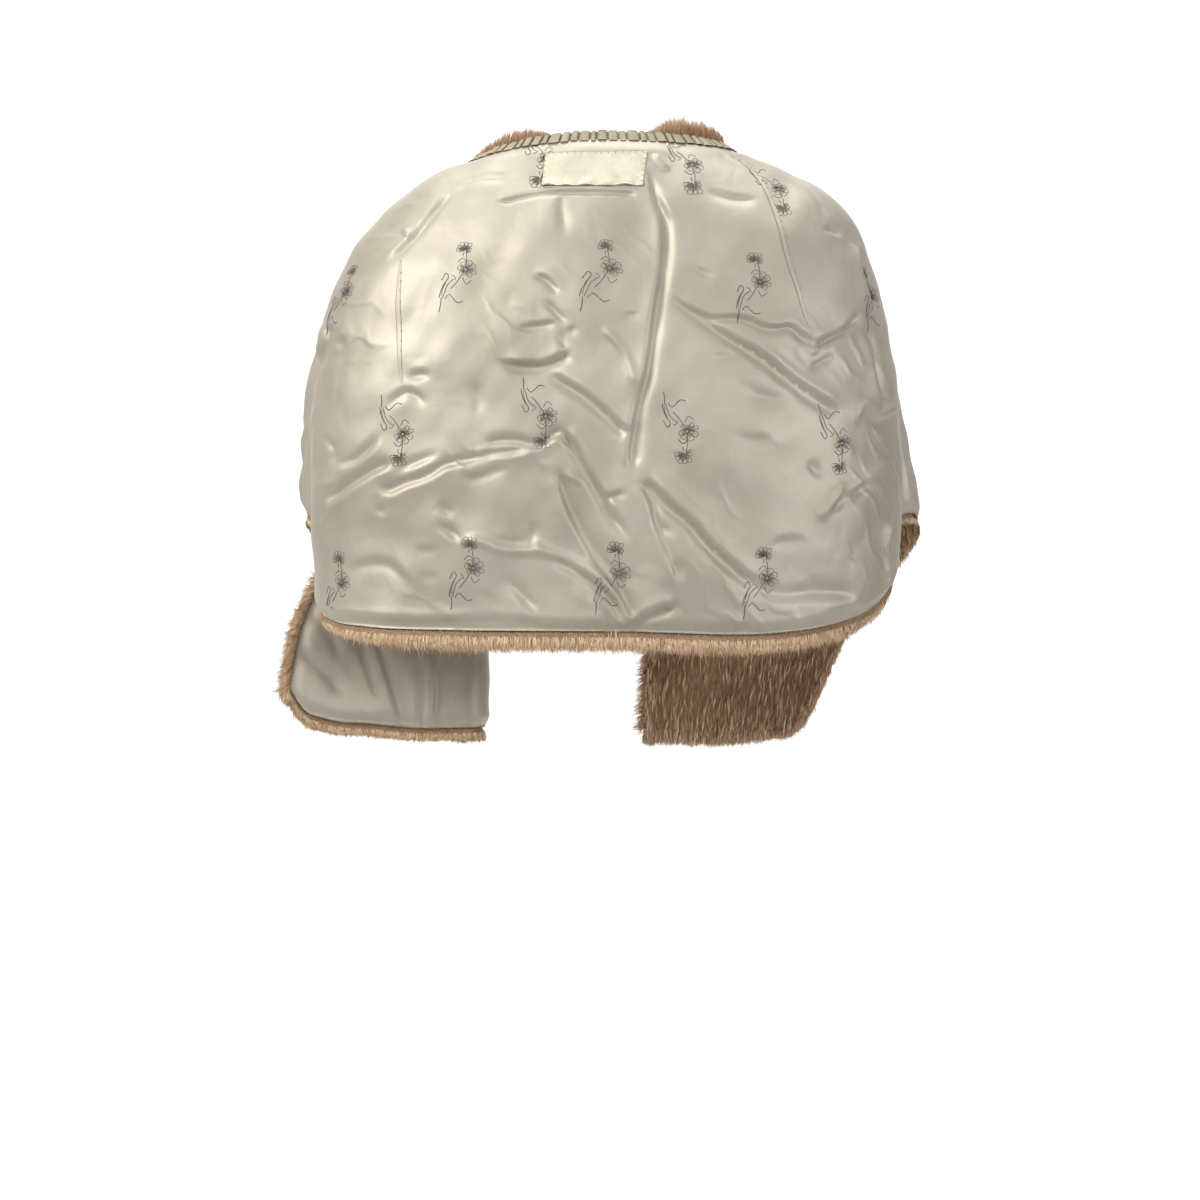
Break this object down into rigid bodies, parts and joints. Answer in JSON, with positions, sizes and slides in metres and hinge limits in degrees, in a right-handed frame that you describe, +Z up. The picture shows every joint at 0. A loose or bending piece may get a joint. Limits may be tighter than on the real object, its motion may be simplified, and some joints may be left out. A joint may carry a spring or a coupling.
{
  "type": "evening stole",
  "caption": "Hip-length fur evening stole worn inside out, satin lining outward, open down the front, one front edge folded under.",
  "frame": {"origin": "between the wearer's shoulders, level with the back of the neckline, where the shoulders carry the stole", "axes": "+Z up, the wearer faces +Y, so the back hangs at -Y; +X is the wearer's right"},
  "size_m": [0.6466, 0.2963, 0.6153],
  "materials": {
    "satin_lining": "champagne-taupe satin with small dark flower sprays",
    "fur": "light brown short fur with pale tips",
    "ribbon": "box-pleated satin ribbon, pale greenish cream",
    "label_cloth": "bare cream woven label"
  },
  "bodies": {
    "root": {"lining_back": "satin_lining", "lining_left_front": "satin_lining", "lining_left_facing": "satin_lining", "lining_right_front": "satin_lining", "pelt_back_left": "fur", "pelt_back_right": "fur", "pelt_left_front": "fur", "pelt_left_facing": "fur", "pelt_right_front": "fur", "fur_collar": "fur", "neck_ribbon": "ribbon", "label": "label_cloth"}
  },
  "joints": []
}
